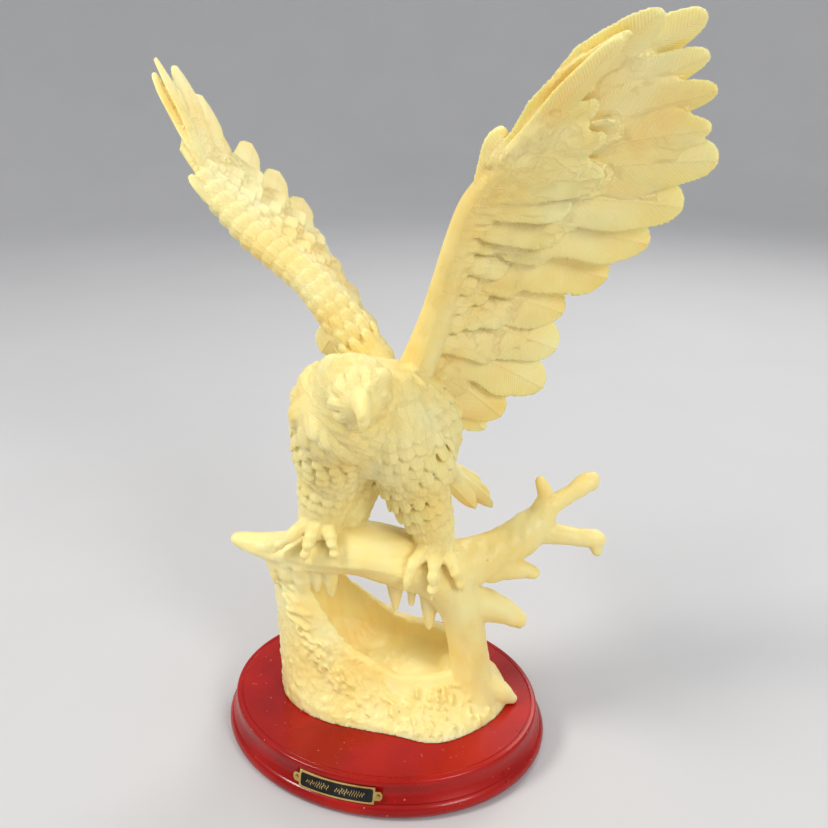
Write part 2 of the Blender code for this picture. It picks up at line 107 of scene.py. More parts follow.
class Casting:
    def __init__(self):
        self.points = []
        self.faces = []
        self.count = 0
        self.blades = []  # root, along, side, and points on the skin, for the barbs
        self.spots = []  # place, axes, size, and whether it is a stone

    def loft(self, rings, ends=True):
        rings = np.asarray(rings)
        rows, sides = rings.shape[:2]
        first = self.count
        self.points.append(rings.reshape(-1, 3))
        self.count += rows * sides
        for row in range(rows - 1):
            for k in range(sides):
                a = first + row * sides + k
                b = first + row * sides + (k + 1) % sides
                self.faces.append((a, b, b + sides, a + sides))
        if ends:
            last = first + (rows - 1) * sides
            self.faces.append(tuple(range(first + sides - 1, first - 1, -1)))
            self.faces.append(tuple(range(last, last + sides)))

    def mesh(self, name):
        made = bpy.data.meshes.new(name)
        made.from_pydata(np.vstack(self.points).tolist(), [], self.faces)
        return made

    def limb(self, points, radii, wide=1.0, up=(0, 0, 1), sides=20, steps=6):
        count = (len(points) - 1) * steps + 1
        line = smoothPath(points, count)
        radius = smoothPath(np.asarray(radii, float)[:, None], count)[:, 0]
        along = np.gradient(line, axis=0)
        turns = roundTurns(sides)
        rings = []
        places = [(0, -1, share) for share in roundEnd] + [(k, 0, 1) for k in range(count)]
        places += [(count - 1, 1, share) for share in roundEnd[::-1]]
        for k, way, share in places:
            tangent = unit(along[k])
            side, over = crosswise(tangent, up)
            spoke = np.outer(np.cos(turns), side) * wide + np.outer(np.sin(turns), over)
            end = way * radius[k] * math.sqrt(1 - share ** 2)
            rings.append(line[k] + tangent * end + spoke * radius[k] * share)
        self.loft(rings)

    def feather(self, root, tip, facing, width, thickness, bow=0.0, rootWidth=0.6, steps=12, ripple=0.0):
        root, along, side, out = featherAxes(root, tip, facing)
        t = np.concatenate([np.linspace(0, 0.7, steps), vane["endSteps"]])
        middle = root + np.outer(t, along) - np.outer(bow * np.sin(np.pi * t), out)
        end = np.clip((t - vane["taperFrom"]) / vane["taperLength"], 0, 1)
        reach = rootWidth + (1 - rootWidth) * np.minimum(1, t / vane["fullFrom"])
        reach = reach * np.sqrt(np.maximum(vane["blunt"], 1 - end ** 2))
        half = width / 2 * reach * (1 + ripple * np.sin(t * vane["waves"] + root[2]))
        deep = thickness / 2 * (0.55 + 0.45 * reach)
        turns = roundTurns(vane["sides"])
        shaft = np.where(np.abs(np.cos(turns)) < 0.1, vane["shaft"], 0.0) * np.sign(np.sin(turns))
        rings = (middle[:, None, :] + side * (half[:, None] * np.cos(turns))[..., None]
                 + out * (deep[:, None] * np.sin(turns) + shaft)[..., None])
        self.loft(rings)
        self.blades.append((root, unit(along), side, rings.reshape(-1, 3)))

    def scale(self, root, tip, facing, width, thickness):
        # a small feather: a spot that takes an instance
        root, along, side, out = featherAxes(root, tip, facing)
        length = np.linalg.norm(along)
        self.spots.append((root, (-side, out, along / length), (width, thickness, length), False))
        grid = [root + along * t + side * width * s + out * thickness * 0.5
                for t in (0.25, 0.5, 0.75, 0.95) for s in (-0.3, 0, 0.3)]
        self.blades.append((root, along / length, side, np.array(grid)))

    def stone(self, place, axis, size):
        side = unit(np.cross(axis, (0.3, 0.5, 0.8)))
        self.spots.append((place, (side, np.cross(axis, side), axis), size, True))


# Sizes in millimetres over the plinth's top, before the pose is turned on the plinth

wings = {
    "leftLead": [(8, 6, 188), (19, -6, 221), (28, -18, 253), (36, -32, 284), (47, -42, 300),
                 (64, -55, 315), (80, -72, 341), (89, -83, 354)],
    "leftTips": [(32, 34, 141), (43, 38, 146), (58, 38, 151), (67, 36, 160), (89, 31, 179), (94, 23, 204),
                 (95, 15, 226), (114, 4, 247), (129, -12, 267), (138, -30, 287), (146, -46, 309),
                 (139, -54, 322), (137, -62, 337), (130, -69, 350), (125, -76, 364), (107, -84, 364),
                 (96, -84, 357)],
    "leftRoots": [0.0, 0.03, 0.06, 0.1, 0.15, 0.21, 0.28, 0.35, 0.42, 0.48, 0.53, 0.56, 0.59, 0.62, 0.66,
                  0.73, 0.82],
    "leftThumb": ((46, -41, 298), (54, -50, 322)),
    "rightLead": [(-4, 8, 198), (-20, 12, 220), (-38, 20, 240), (-64, 32, 257), (-88, 44, 280),
                  (-108, 56, 306), (-118, 66, 328), (-122, 71, 340)],
    "rightTips": [(-1, 56, 190), (-6, 76, 202), (-17, 94, 214), (-30, 110, 232), (-43, 121, 250),
                  (-52, 127, 268), (-66, 128, 284), (-81, 123, 301), (-97, 116, 307), (-105, 106, 329),
                  (-114, 90, 345), (-121, 77, 349)],
    "rightRoots": [0.0, 0.05, 0.11, 0.18, 0.26, 0.35, 0.44, 0.52, 0.59, 0.66, 0.76, 0.88],
    "rightThumb": ((-86, 42, 274), (-100, 44, 292)),
    "wrist": 0.58,  # share of the leading edge where the hand begins
    "armRadii": (12, 9.5, 8.2, 7.2, 6.5, 5.8, 4.8, 3.2),
    "armCoat": (0.92, 0.06, 17, 9, 11, 6.5, 0),  # as the coats on the body are given
    "leadWidth": 14,  # the first feather, along the hand's leading edge
    "vaneThickness": 2.5,
    "leftOverlap": 1.55,
    "rightOverlap": 1.0,
    "webDepth": 0.5,
    "webThickness": 6.0,
    # count, root and tip as fractions of the way back, width, lift off the wing
    "covertRows": [(9, 0.28, 0.62, 19, 2.6), (11, 0.20, 0.43, 15, 4.0), (14, 0.11, 0.29, 11.5, 5.0),
                   (18, 0.04, 0.18, 9, 5.8)],
    "covertSpan": 0.62,
    "shingle": 0.28,  # lean of each feather onto the next
    "handFrom": 0.4,  # long coverts lie over the vanes from here on
    "handLift": 2.4,
    "covertThickness": 2.4,
    "coatLift": 1.4,  # root under and tip over a coated limb's skin
    "leftCamber": 6,
    "rightCamber": 3,
    "rightUnderExtra": 4.0,
}


def featherCoat(casting, line, radii, coat, wide=1.0):
    # rings of small feathers round a limb, laid back towards the start of its line
    high, low, rings, count, length, width, droop = coat
    radiusLine = np.asarray(radii, float)[:, None] * [1, 1, 1]
    for row, share in enumerate(np.linspace(high, low, rings)):
        middle = at(line, share)
        ahead = unit(at(line, min(share + 0.04, 1)) - at(line, max(share - 0.04, 0)))
        radius = at(radiusLine, share)[0]
        side, over = crosswise(ahead)
        for k in range(count):
            turn = 2 * math.pi * (k + 0.5 * (row % 2)) / count
            out = side * wide * math.cos(turn) + over * math.sin(turn)
            root = middle + out * (radius - wings["coatLift"])
            tip = middle - ahead * length + out * (radius + wings["coatLift"]) - np.array([0, 0, droop])
            casting.scale(root, tip, out, width, wings["covertThickness"])


class Wing:
    def __init__(self, hand, under):
        self.lead = wings[hand + "Lead"]
        self.tips = np.asarray(wings[hand + "Tips"], float)
        self.roots = wings[hand + "Roots"]
        self.camber = wings[hand + "Camber"]
        self.overlap = wings[hand + "Overlap"]
        self.under = under  # +1 or -1, the side of the ruling that is the underside
        self.scaly = hand == "right"

    def edge(self, share):
        return at(self.lead, share)

    def reach(self, share):
        tip = np.array([np.interp(share, self.roots, self.tips[:, k]) for k in range(3)])
        return tip - self.edge(share)

    def run(self, share):
        share = min(share, wings["wrist"])
        return unit(self.edge(share + 0.05) - self.edge(max(share - 0.05, 0)))

    def facing(self, share):
        share = min(share, wings["wrist"])
        return unit(np.cross(self.run(share), self.reach(share))) * self.under

    def on(self, share, fraction, lift=0.0):
        off = lift - self.camber * math.sin(math.pi * fraction)
        return self.edge(share) + self.reach(share) * fraction + self.facing(share) * off

    def arm(self, casting):
        radii = wings["armRadii"]
        shares = np.linspace(0, wings["wrist"] + 0.04, len(radii))
        line = [self.edge(s) + unit(self.reach(s)) * r * 0.9 for s, r in zip(shares, radii)]
        casting.limb(line, radii, sides=16, steps=4)
        if self.scaly:
            featherCoat(casting, line[::-1], radii[::-1], wings["armCoat"])
        inward = unit(self.reach(wings["wrist"])) * wings["leadWidth"] * 0.36
        facing = self.facing(1) + self.run(1) * wings["shingle"]
        casting.feather(self.edge(wings["wrist"] - 0.05) + inward, self.edge(1) + inward, facing,
                        wings["leadWidth"], 3.4, ripple=0.04)

    def vanes(self, casting):
        last = len(self.tips) - 1
        for k, share in enumerate(self.roots):
            tip = self.tips[k]
            share = min(share, wings["wrist"])
            near = [np.linalg.norm(tip - self.tips[j]) for j in (k - 1, k + 1) if 0 <= j <= last]
            width = min(max(self.overlap * sum(near) / len(near), 15), 36)
            if k == last:
                width *= 0.65
            root = self.edge(share) + self.reach(share) * 0.06
            facing = self.facing(share)
            lean = self.run(share) * wings["shingle"] * 0.75
            casting.feather(root, tip, facing + lean, width, wings["vaneThickness"], self.camber,
                            steps=15, ripple=0.06)
            if self.roots[k] >= wings["handFrom"]:
                for side in (1, -1):
                    lift = facing * side * wings["handLift"]
                    end = root + (tip - root) * (0.52 - 0.06 * (k % 2)) + lift
                    casting.scale(root + lift * 0.5, end, facing * side + lean * 1.6, width * 0.55,
                                  wings["covertThickness"])

    def web(self, casting):
        rings = []
        for share in np.linspace(0, 0.7, 21):
            ring = []
            for turn in roundTurns(14):
                fraction = wings["webDepth"] * (0.5 - 0.5 * math.cos(turn))
                ring.append(self.on(share, fraction, wings["webThickness"] / 2 * math.sin(turn)))
            rings.append(ring)
        casting.loft(rings)

    def coverts(self, casting, side, extra):
        for row, (count, near, far, width, lift) in enumerate(wings["covertRows"]):
            lift += extra
            for k in range(count):
                share = wings["covertSpan"] * (k + 0.4 + 0.4 * (row % 2)) / count
                facing = self.facing(share) * side + self.run(share) * wings["shingle"]
                root = self.on(share, near, side * lift * 0.6)
                tip = self.on(share, far, side * lift)
                casting.scale(root, tip, facing, width, wings["covertThickness"])


def buildWings(casting):
    for hand, under, extra in (("left", -1, 0), ("right", 1, wings["rightUnderExtra"])):
        wing = Wing(hand, under)
        wing.arm(casting)
        wing.vanes(casting)
        wing.web(casting)
        wing.coverts(casting, 1, extra)
        wing.coverts(casting, -1, 0)
        casting.feather(*wings[hand + "Thumb"], wing.facing(0.6), 12, 3.2)
    casting.feather((-18, 26, 222), (-34, 42, 196), (-0.5, -0.8, -0.2), 20, 3.4)


bird = {
    "body": ([(29, 30, 138), (19, 18, 155), (9, 5, 170), (-7, -11, 179), (-17, -22, 186)],
             [7, 16, 27, 29, 26]),
    "breast": ([(-26, -6, 148), (-25, -10, 160), (-18, -14, 178)], [12, 17, 24]),
    "leftBreast": ([(19, -9, 150), (15, -12, 164), (4, -10, 184)], [16, 20, 21]),
    "neckSide": ([(10, -18, 162), (8, -22, 176), (5, -20, 190)], [15, 17, 16]),
    "head": ([(-14, -26, 194), (-10, -40, 202), (-8, -48, 202)], [21, 16.5, 13]),
    "rightLeg": ([(-34, -2, 112), (-31, 0, 124), (-27, -2, 140), (-18, -2, 160)], [8.5, 11, 14.5, 18]),
    "rightHam": ([(-18, 7, 114), (-12, 9, 132), (-4, 8, 152)], [7.5, 9.5, 13]),
    "leftLeg": ([(29, -9, 106), (26, -9, 118), (18, -8, 138), (14, -2, 158)], [6.5, 9, 15, 19]),
    "beak": ([(-8, -53, 204), (-6, -62, 204), (-5, -67, 200), (-6, -66, 193)], [7.5, 6.0, 4.2, 1.6]),
    "brows": [[(-21, -41, 210), (-13, -55, 209)], [(3, -44, 211), (-3, -56, 210)]],
    "eyes": [[(-19, -50, 204), (-18.6, -51, 204)], [(3.5, -52, 205), (3.2, -53, 205)]],
    "tailTips": [(49, 62, 110), (58, 63, 104), (64, 62, 96), (66, 59, 90), (55, 50, 94)],
    # rings of feathers: from and to along the limb, rings, feathers in a ring, length, width, droop
    "coats": {
        "body": (0.97, 0.36, 11, 20, 15, 9, 2), "breast": (0.95, 0.1, 7, 15, 12, 8, 1),
        "leftBreast": (0.95, 0.1, 7, 15, 12, 8, 1), "neckSide": (0.98, 0.1, 7, 14, 12, 8, 1),
        "head": (0.92, 0.0, 6, 16, 10, 7, 0.5), "rightLeg": (0.97, 0.12, 10, 14, 11, 7, 1),
        "rightHam": (0.95, 0.12, 7, 10, 10, 6.5, 1), "leftLeg": (0.97, 0.12, 10, 14, 11, 7, 1),
    },
    # feathers over a limb's round end: count, length, width, and how far up each ring lies
    "caps": {
        "body": (20, 14, 8.5, (6, 20, 34, 48, 62, 76)), "breast": (18, 13, 8, (10, 30, 50, 70)),
        "head": (13, 9, 6, (4, 22, 40)), "leftBreast": (16, 13, 8, (10, 30, 50)),
    },
    "coatThickness": 2.2,
    # each toe's start, knuckle and end
    "toes": [
        [(-36, -4, 116), (-47, -12, 111), (-56, -12, 103)],
        [(-33, -6, 116), (-38, -17, 110), (-41, -18, 101)],
        [(-30, -4, 115), (-27, -16, 110), (-25, -18, 102)],
        [(-32, 6, 114), (-31, 16, 106), (-31, 17, 98)],
        [(28, -10, 106), (18, -25, 100), (14, -28, 90)],
        [(30, -11, 106), (28, -28, 98), (27, -30, 86)],
        [(32, -10, 106), (38, -25, 98), (42, -26, 88)],
        [(31, 0, 106), (34, 10, 98), (35, 12, 90)],
    ],
    "toeRadii": [4.6, 3.8, 1.8],
    "clawRadii": [2.2, 1.5, 0.7],
    "clawLength": 5,
}


def featherCap(casting, limb, cap):
    line, radii = bird[limb]
    count, length, width, angles = cap
    end, radius = at(line, 1), radii[-1]
    ahead = unit(end - at(line, 0.94))
    side, over = crosswise(ahead)
    for row, angle in enumerate(math.radians(angle) for angle in angles):
        ring = max(5, round(count * math.cos(angle)))
        for k in range(ring):
            turn = 2 * math.pi * (k + 0.5 * (row % 2)) / ring
            out = side * math.cos(turn) + over * math.sin(turn)
            skin = out * math.cos(angle) + ahead * math.sin(angle)
            back = out * math.sin(angle) - ahead * math.cos(angle)
            root = end + skin * (radius - 1.2)
            tip = end + unit(skin + back * length / radius) * (radius + 2.1)
            casting.scale(root, tip, skin, width, bird["coatThickness"])


def buildBird(casting):
    for limb, coat in bird["coats"].items():
        wide = 1.1 if limb == "body" else 1.0
        casting.limb(*bird[limb], wide=wide)
        featherCoat(casting, *bird[limb], coat, wide)
    for limb, cap in bird["caps"].items():
        featherCap(casting, limb, cap)
    casting.limb(*bird["beak"], wide=0.75)
    for brow in bird["brows"]:
        casting.limb(brow, [4.5, 2.6])
    for eye in bird["eyes"]:
        casting.limb(eye, [2.6, 2.6], sides=12)
    casting.limb([(-2, 10, 186), (9, -2, 187)], [14, 13])  # between the wings
    for tip in bird["tailTips"]:
        casting.feather((25, 26, 136), tip, (-0.5, 0.2, 0.8), 12, 3.4, bow=-2, ripple=0.03)
    casting.limb([(23, 22, 142), (40, 42, 120)], [11, 6], wide=1.2)
    for toe in bird["toes"]:
        casting.limb(toe, bird["toeRadii"], sides=12, steps=4)
        start, knuckle, end = (np.asarray(p, float) for p in toe)
        for share in (0.25, 0.6, 0.95):  # scaly knuckles
            spot = at(toe, share)
            ends = [spot, spot + unit(end - start) * 0.8]
            casting.limb(ends, [4.5 - 1.6 * share] * 2, sides=10, steps=2)
        tip = end + unit(end - knuckle + np.array([0, 0, -4])) * bird["clawLength"]
        casting.limb([end, (end + tip) / 2, tip], bird["clawRadii"], sides=10, steps=3)


tree = {
    "log": [(-81, 7, 96), (-68, 5, 94), (-50, 2, 93), (-32, 0, 95), (-14, -2, 96), (8, -5, 92),
            (30, -7, 84), (42, -8, 66), (47, -9, 44), (50, -10, 20), (52, -10, 5)],
    "logRadii": [5, 8, 13, 16.5, 18, 19, 19, 16, 14, 15, 19],
    "branches": [
        ([(34, -6, 84), (54, 0, 88), (70, 6, 93), (84, 10, 102), (92, 12, 112)], [17, 13, 11.5, 11, 7]),
        ([(88, 11, 106), (91, 12, 120), (88, 12, 130)], [8, 5, 3.2]),
        ([(90, 12, 112), (102, 14, 119), (112, 15, 126), (116, 16, 128)], [7, 5, 5.5, 6]),
        ([(84, 10, 101), (104, 8, 98), (120, 6, 97)], [8, 5.5, 5.5]),
        ([(118, 6, 98), (121, 5, 90)], [5, 3.2]),
        ([(60, 0, 82), (76, -3, 83), (84, -4, 81)], [9, 5.5, 4]),
        ([(46, -6, 64), (64, -7, 60), (76, -9, 54)], [12, 8.5, 5.5]),
        ([(50, -12, 12), (66, -14, 8), (74, -14, 3)], [12, 7, 3.5]),
        ([(44, -6, 10), (40, 14, 7), (38, 28, 4)], [12, 9, 5]),
    ],
    "icicles": [(-53, -2, 69, 8), (-45, -5, 66, 7), (-37, -6, 72, 6), (-29, -7, 69, 6), (7, -7, 61, 6),
                (26, -9, 49, 6), (-61, -1, 74, 5), (16, -8, 64, 4)],
}


def buildTree(casting):
    casting.limb(tree["log"], tree["logRadii"], wide=0.8, up=(0, 1, 0.02), sides=24)
    for points, radii in tree["branches"]:
        casting.limb(points, radii)
    for x, y, low, radius in tree["icicles"]:
        line = [(x, y, low + 22), (x, y, low + 9), (x, y, low)]
        casting.limb(line, [radius, radius * 0.68, 2.0], up=(0, 1, 0), sides=12)


rocks = {
    # outline on the plinth, and the rim over the same places
    "foot": [(6, -43), (31, -49), (58, -34), (72, -12), (68, 18), (46, 38),
             (12, 50), (-24, 48), (-50, 34), (-61, 12), (-56, -12), (-34, -31)],
    "rim": [(8, -22, 22), (30, -21, 22), (52, -14, 26), (58, -4, 24), (54, 12, 24), (36, 28, 27),
            (8, 40, 28), (-18, 38, 48), (-45, 26, 76), (-63, 8, 88), (-51, -6, 78), (-27, -14, 40)],
    "rimWall": 8,
    "basin": (6, 2, 11),
    "steps": 72,
    "flakes": 110,
    "flakeSize": ((1.8, 1.8, 6), (3.4, 3.4, 14)),
    "streak": ((0.79, 0.96), (1.08, 0.22)),  # from and to: turn round the foot, height
    "crystals": 70,
    "crystalArea": ((1.04, 1.19), (0.1, 0.85)),  # spans of turn and height
    "crystalSize": ((1.6, 1.6, 3), (3.4, 3.4, 8)),
    "seed": 7,
}


def buildRocks(casting):
    steps = rocks["steps"]
    foot = smoothPath(rocks["foot"] + rocks["foot"][:1], steps + 1)[:-1]
    rim = smoothPath(rocks["rim"] + rocks["rim"][:1], steps + 1)[:-1]
    foot = np.column_stack([foot, np.zeros(steps)])
    middle = np.asarray(rocks["basin"], float)
    inward = middle - rim
    inward[:, 2] = 0
    inward /= np.linalg.norm(inward, axis=1)[:, None]
    lip = rim + inward * rocks["rimWall"]
    waist = foot + (rim - foot) * [0.55, 0.55, 0.42]
    skirt = foot + (rim - foot) * [0.10, 0.10, 0.14]
    hollow = lip + inward * 3
    hollow[:, 2] = 14 + 0.35 * (rim[:, 2] - 14)
    low = hollow + (middle - hollow) * [0.35, 0.35, 0.9]
    casting.loft([foot, skirt, waist, rim - [0, 0, 3], rim + inward * 2, lip - [0, 0, 1], hollow, low,
                  middle + (low - middle) * 0.3])
    random = np.random.default_rng(rocks["seed"])

    def onFace(turn, height):
        j = int(turn * steps) % steps
        inner = np.interp(height, (0, 0.14, 0.42, 1), (0, 0.10, 0.55, 1))
        return foot[j] + (rim[j] - foot[j]) * [inner, inner, height]

    start, end = np.array(rocks["streak"])
    flow = unit(onFace(*(start + (end - start) * 0.7)) - onFace(*(start + (end - start) * 0.3)))
    for k in range(rocks["flakes"]):  # a splashed streak, falling from the left to the front
        turn, height = start + (end - start) * k / rocks["flakes"]
        spot = onFace(turn + random.normal(0, 0.01), np.clip(height + random.normal(0, 0.09), 0.08, 1))
        casting.stone(spot, unit(flow + random.normal(0, 0.3, 3)), random.uniform(*rocks["flakeSize"]))
    for k in range(rocks["crystals"]):  # standing crystals by the trunk's foot
        spot = onFace(*(random.uniform(*span) for span in rocks["crystalArea"]))
        axis = unit(np.array([0, -0.3, 1]) + random.normal(0, 0.35, 3))
        casting.stone(spot, axis, random.uniform(*rocks["crystalSize"]))


# Node helpers

class Graph:
    def __init__(self, tree):
        self.tree = tree
        self.link = tree.links.new

    def feed(self, node, values):
        # a socket, or a node's first output, is linked; anything else is the input's own value
        for name, value in values.items():
            if isinstance(value, bpy.types.Node):
                value = value.outputs[0]
            if isinstance(value, bpy.types.NodeSocket):
                self.link(value, node.inputs[name])
            else:
                node.inputs[name].default_value = value
        return node

    def add(self, kind, values=None, **settings):
        node = self.tree.nodes.new(kind)
        for name, value in settings.items():
            setattr(node, name, value)
        return self.feed(node, values or {})

    def calc(self, operation, first, second=0.0):
        return self.add("ShaderNodeMath", {0: first, 1: second}, operation=operation)

    def times(self, first, second):
        return self.calc("MULTIPLY", first, second)

    def plus(self, first, second):
        return self.calc("ADD", first, second)

    def split(self, vector):
        return self.add("ShaderNodeSeparateXYZ", {0: vector}).outputs

    def combine(self, x=0.0, y=0.0, z=0.0):
        return self.add("ShaderNodeCombineXYZ", {0: x, 1: y, 2: z})

    def position(self):
        return self.add("GeometryNodeInputPosition")

    def close(self, enter, geometry):
        # a geometry tree ends in real geometry with its material
        real = self.add("GeometryNodeRealizeInstances", {"Geometry": geometry})
        coat = self.add("GeometryNodeSetMaterial", {"Geometry": real, "Material": enter["Material"]})
        self.add("NodeGroupOutput", {0: coat})
        return self.tree


def newGroup(name, kind, inputs, outputs):
    made = bpy.data.node_groups.new(name, kind)
    for way, sockets in (("INPUT", inputs), ("OUTPUT", outputs)):
        for label, value in sockets.items():
            made.interface.new_socket(label, in_out=way, socket_type="NodeSocket" + value)
    graph = Graph(made)
    return graph, graph.add("NodeGroupInput").outputs


def newTree(name, inputs):
    inputs = {"Geometry": "Geometry", **inputs, "Material": "Material"}
    return newGroup(name, "GeometryNodeTree", inputs, {"Geometry": "Geometry"})


def addNodes(thing, made, values):
    modifier = thing.modifiers.new(made.name, "NODES")
    modifier.node_group = made
    for item in made.interface.items_tree:
        if item.item_type == "SOCKET" and item.in_out == "INPUT" and item.name in values:
            modifier[item.identifier] = values[item.name]


def modify(thing, kind, **settings):
    modifier = thing.modifiers.new(kind, kind)
    for name, value in settings.items():
        setattr(modifier, name, value)


def takeMesh(thing):
    # the plain mesh after the modifiers; the helper object goes
    graph = bpy.context.evaluated_depsgraph_get()
    graph.update()
    mesh = bpy.data.meshes.new_from_object(thing.evaluated_get(graph), depsgraph=graph)
    bpy.data.objects.remove(thing)
    return mesh


def linked(name, data):
    thing = bpy.data.objects.new(name, data)
    bpy.context.scene.collection.objects.link(thing)
    return thing


def meshPoints(mesh):
    flat = np.empty(len(mesh.vertices) * 3, np.float32)
    mesh.vertices.foreach_get("co", flat)
    return flat.reshape(-1, 3).astype(float)


def setPoints(mesh, points):
    mesh.vertices.foreach_set("co", points.astype(np.float32).ravel())
    mesh.update()


def setAttribute(mesh, name, kind, values):
    layer = mesh.attributes.new(name, kind, "POINT")
    field = "vector" if kind == "FLOAT_VECTOR" else "value"
    layer.data.foreach_set(field, np.array(values, bool if kind == "BOOLEAN" else np.float32).ravel())


def closeUp(mesh):
    work = bmesh.new()
    work.from_mesh(mesh)
    bmesh.ops.remove_doubles(work, verts=work.verts, dist=1e-6)
    bmesh.ops.holes_fill(work, edges=[edge for edge in work.edges if edge.is_boundary])
    bmesh.ops.recalc_face_normals(work, faces=work.faces)
    work.to_mesh(mesh)
    work.free()


def addPiece(name, mesh, material, replaced=None):
    mesh.name = name
    mesh.materials.clear()
    mesh.materials.append(material)
    piece = linked(name, mesh)
    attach(piece, "root")
    if replaced:
        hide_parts(replaced)
    print(name + ":", len(mesh.polygons), "faces")


# Small feathers and stones, put in on their spots

details = {"Feather Sides": 12, "Feather Rings": 9, "Feather Dome": 0.4}


def detailTree():
    graph, enter = newTree("castDetails", {"Spots": "Object", "Feather Sides": "Int",
                                           "Feather Rings": "Int", "Feather Dome": "Float"})
    add, calc, times, plus = graph.add, graph.calc, graph.times, graph.plus
    spots = add("GeometryNodeObjectInfo", {"Object": enter["Spots"]}, transform_space="ORIGINAL")

    def named(name, kind):
        node = add("GeometryNodeInputNamedAttribute", {"Name": name}, data_type=kind)
        return node.outputs["Attribute"]

    # a ball made fuller towards its ends and domed: root at 0, tip at 1, along Z
    ball = add("GeometryNodeMeshUVSphere", {"Radius": 0.5, "Segments": enter["Feather Sides"],
                                            "Rings": enter["Feather Rings"]})
    spot = graph.split(graph.position())
    twice = times(spot["Z"], 2.0)
    square = times(twice, twice)
    fuller = calc("SQRT", plus(square, 1.0))
    dome = times(calc("SUBTRACT", 1.0, square), enter["Feather Dome"])
    place = graph.combine(times(spot["X"], fuller), plus(times(spot["Y"], fuller), dome),
                          plus(spot["Z"], 0.5))
    feather = add("GeometryNodeSetPosition", {"Geometry": ball, "Position": place})
    stone = add("GeometryNodeMeshIcoSphere", {"Radius": 0.5})

    together = add("GeometryNodeJoinGeometry", {0: enter["Geometry"]})
    isStone = named("stone", "BOOLEAN")
    isFeather = add("FunctionNodeBooleanMath", {0: isStone}, operation="NOT")
    turn = add("FunctionNodeEulerToRotation", {0: named("turn", "FLOAT_VECTOR")})
    put = {"Points": spots.outputs["Geometry"], "Rotation": turn, "Scale": named("size", "FLOAT_VECTOR")}
    for shape, chosen in ((feather, isFeather), (stone, isStone)):
        put.update({"Selection": chosen, "Instance": shape})
        copies = add("GeometryNodeInstanceOnPoints", put)
        graph.feed(together, {0: copies})
    return graph.close(enter, together)


def spotCloud(casting):
    cloud = bpy.data.meshes.new("spots")
    cloud.from_pydata([tuple(spot[0]) for spot in casting.spots], [], [])
    turns = [tuple(Matrix(np.array(spot[1]).T.tolist()).to_euler()) for spot in casting.spots]
    setAttribute(cloud, "turn", "FLOAT_VECTOR", turns)
    setAttribute(cloud, "size", "FLOAT_VECTOR", [tuple(spot[2]) for spot in casting.spots])
    setAttribute(cloud, "stone", "BOOLEAN", [spot[3] for spot in casting.spots])
    return linked("spots", cloud)


# Fusing and finishing the casting

finish = {
    "turn": math.radians(18),  # the pose on the plinth
    "voxel": 0.85,
    "triangles": 195000,
    "trim": 0.8,  # taken off under the foot
    "rockDepth": 1.3,
    "barkDepth": 1.0,
    "wallDepth": 0.9,
}


def keepLargest(mesh):
    work = bmesh.new()
    work.from_mesh(mesh)
    left = set(work.verts)
    bodies = []
    while left:
        body = [left.pop()]
        for point in body:
            for link in point.link_edges:
                other = link.other_vert(point)
                if other in left:
                    left.remove(other)
                    body.append(other)
        bodies.append(body)
    bodies.sort(key=len)
    for body in bodies[:-1]:
        bmesh.ops.delete(work, geom=body, context="VERTS")
    work.to_mesh(mesh)
    work.free()


# from where each kind of roughness fades in, and over how far
zones = {
    "rockTop": (62, -22),
    "logFoot": (70, 14),
    "logTop": (118, -6),
    "trunkFrom": 38,  # x where the log turns down into the trunk
    "trunkBark": 0.8,
    "feathersFrom": 134,
    "wallTop": (84, -10),
    "wallRight": (30, -20),
    "wallFront": (-8, 10),
}


def fade(value, name):
    start, span = zones[name]
    return np.clip((value - start) / span, 0, 1)


def groundWeights(points):
    # how rocky, barky and streaked each place is
    x, y, z = points.T
    rock = fade(z, "rockTop") * np.clip((-4 - y) / 10 + (-x - 22) / 26, 0, 1)
    bark = np.where(x < zones["trunkFrom"], fade(z, "logFoot") * fade(z, "logTop"), zones["trunkBark"])
    bark = bark * (z < zones["feathersFrom"]) * (y < 32)
    wall = fade(z, "wallTop") * fade(x, "wallRight") * fade(y, "wallFront")
    return rock, bark, wall


def roughen(mesh):
    points = meshPoints(mesh)
    normals = np.empty(len(points) * 3, np.float32)
    mesh.vertices.foreach_get("normal", normals)
    rock, bark, wall = groundWeights(points)
    push = np.zeros(len(points))
    for k in np.nonzero((points[:, 2] < zones["feathersFrom"]) & (rock + bark + wall > 0.02))[0]:
        x, y, z = points[k]
        broken = noise.turbulence(Vector((x / 6, y / 6, z / 6)), 4, True) - 0.5
        grainSize = (30, 5, 4) if x < zones["trunkFrom"] else (5, 5, 24)
        grain = noise.noise(Vector([place / size for place, size in zip((x, y, z), grainSize)]))
        streak = noise.noise(Vector((x / 3.5 + z / 16, y / 3.5, z / 26)))
        push[k] = finish["rockDepth"] * rock[k] * broken + finish["barkDepth"] * bark[k] * grain
        push[k] += finish["wallDepth"] * wall[k] * streak
    push *= np.clip(points[:, 2] / 3, 0, 1)
    setPoints(mesh, points + normals.reshape(-1, 3) * push[:, None])


def barbCoordinates(casting, points):
    # along and across the nearest feather in millimetres, and 1 if there is one
    lookup = kdtree.KDTree(sum(len(blade[3]) for blade in casting.blades))
    for k, blade in enumerate(casting.blades):
        for spot in blade[3]:
            lookup.insert(spot, k)
    lookup.balance()
    found = [lookup.find(spot) for spot in points]
    owner = np.array([near[1] for near in found])
    close = np.array([near[2] for near in found]) < 4.0
    roots, alongs, sides = (np.array(part)[owner] for part in list(zip(*casting.blades))[:3])
    along, across = (np.einsum("ij,ij->i", points - roots, axis) for axis in (alongs, sides))
    return np.column_stack([along, across, np.ones(len(points))]) * close[:, None]


